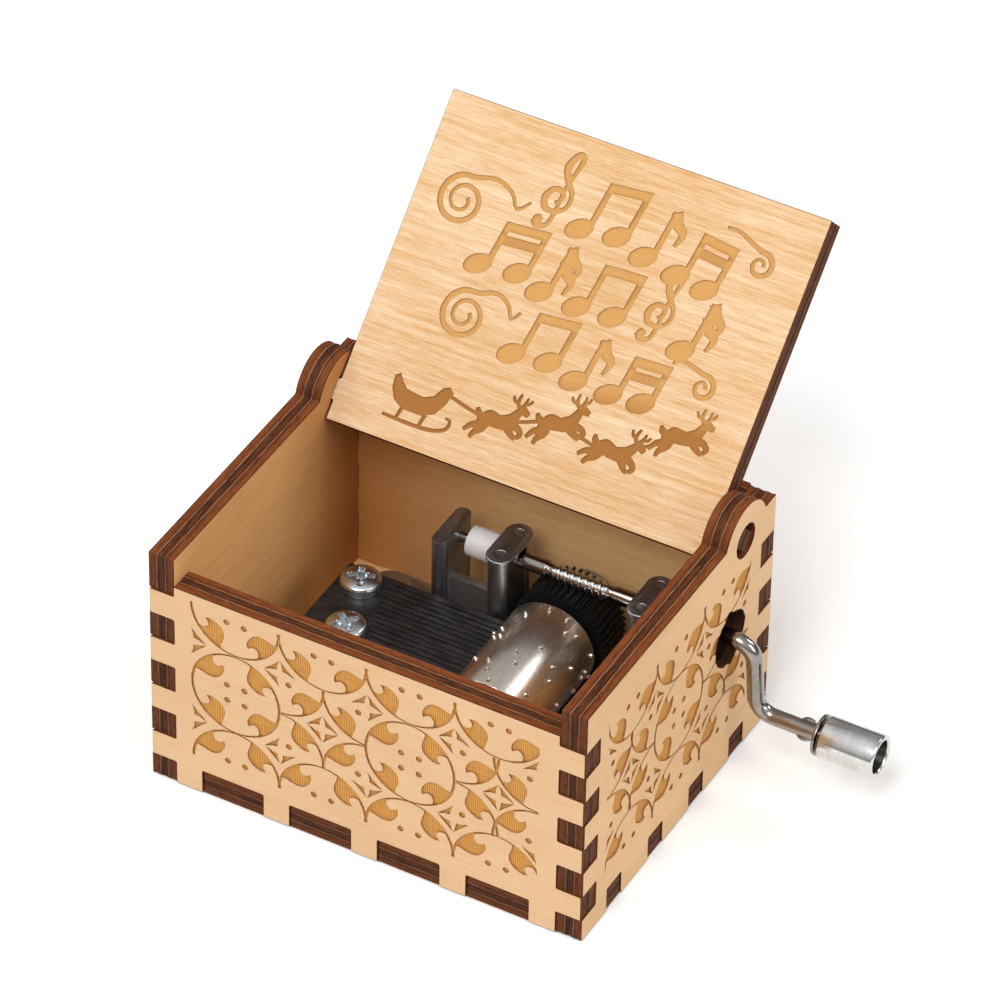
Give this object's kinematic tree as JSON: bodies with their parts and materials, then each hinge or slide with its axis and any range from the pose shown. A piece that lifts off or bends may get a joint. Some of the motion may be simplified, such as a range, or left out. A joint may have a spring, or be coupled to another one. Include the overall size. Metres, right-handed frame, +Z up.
{
  "type": "hand crank music box",
  "caption": "Small finger-jointed plywood music box with a hinged lid, an open comb-and-cylinder movement and a bent rod crank at the side.",
  "frame": {"origin": "centre of the box's bottom face, on the surface it rests on", "axes": "+X right, towards the crank; +Y back, towards the lid's hinge; +Z up"},
  "size_m": [0.0859, 0.0741, 0.0672],
  "materials": {
    "birch_ply": "laser-cut birch plywood with burnt edges, matte",
    "die_cast": "dark grey die-cast metal, satin",
    "comb_steel": "dark spring steel, satin",
    "lead": "soft grey metal, matte",
    "zinc_plate": "zinc-plated steel, bright",
    "nickel": "nickel-plated brass, bright",
    "black_plastic": "black moulded plastic, matte",
    "nylon": "white translucent nylon",
    "chrome_steel": "polished plated steel"
  },
  "bodies": {
    "root": {"base_panel": "birch_ply", "front_panel": "birch_ply", "back_panel": "birch_ply", "left_panel": "birch_ply", "right_panel": "birch_ply", "movement_frame": "die_cast", "mid_bearing_cap": "die_cast", "end_bearing_cap": "die_cast", "comb": "comb_steel", "bass_weights": "lead", "comb_screws": "zinc_plate", "base_screws": "zinc_plate"},
    "lid": {"lid": "birch_ply"},
    "crank": {"crank_rod": "chrome_steel", "shaft_bush": "nylon", "knob_washer": "chrome_steel"},
    "knob": {"knob_barrel": "chrome_steel"},
    "cylinder": {"cylinder_shell": "nickel", "cylinder_front_cap": "nickel", "cylinder_flange": "die_cast", "cylinder_arbor": "chrome_steel", "worm_wheel": "black_plastic"}
  },
  "joints": [
    {"name": "lid_hinge", "type": "hinge", "parent": "root", "child": "lid", "pos_m": [0, 0.01695, 0.03617], "axis": [1, 0, 0], "range_deg": [0, 136.3]},
    {"name": "crank_spin", "type": "hinge", "parent": "root", "child": "crank", "pos_m": [0, 0.01365, 0.0222], "axis": [1, 0, 0], "continuous": true},
    {"name": "knob_spin", "type": "hinge", "parent": "crank", "child": "knob", "pos_m": [0.05, 0.01495, 0.0102], "axis": [1, 0, 0], "continuous": true},
    {"name": "cylinder_spin", "type": "hinge", "parent": "root", "child": "cylinder", "pos_m": [0.0085, 0, 0.0146], "axis": [0, 1, 0], "continuous": true}
  ],
  "couplings": [
    {"joint": "cylinder_spin", "follows": "crank_spin", "ratio": -0.025}
  ]
}
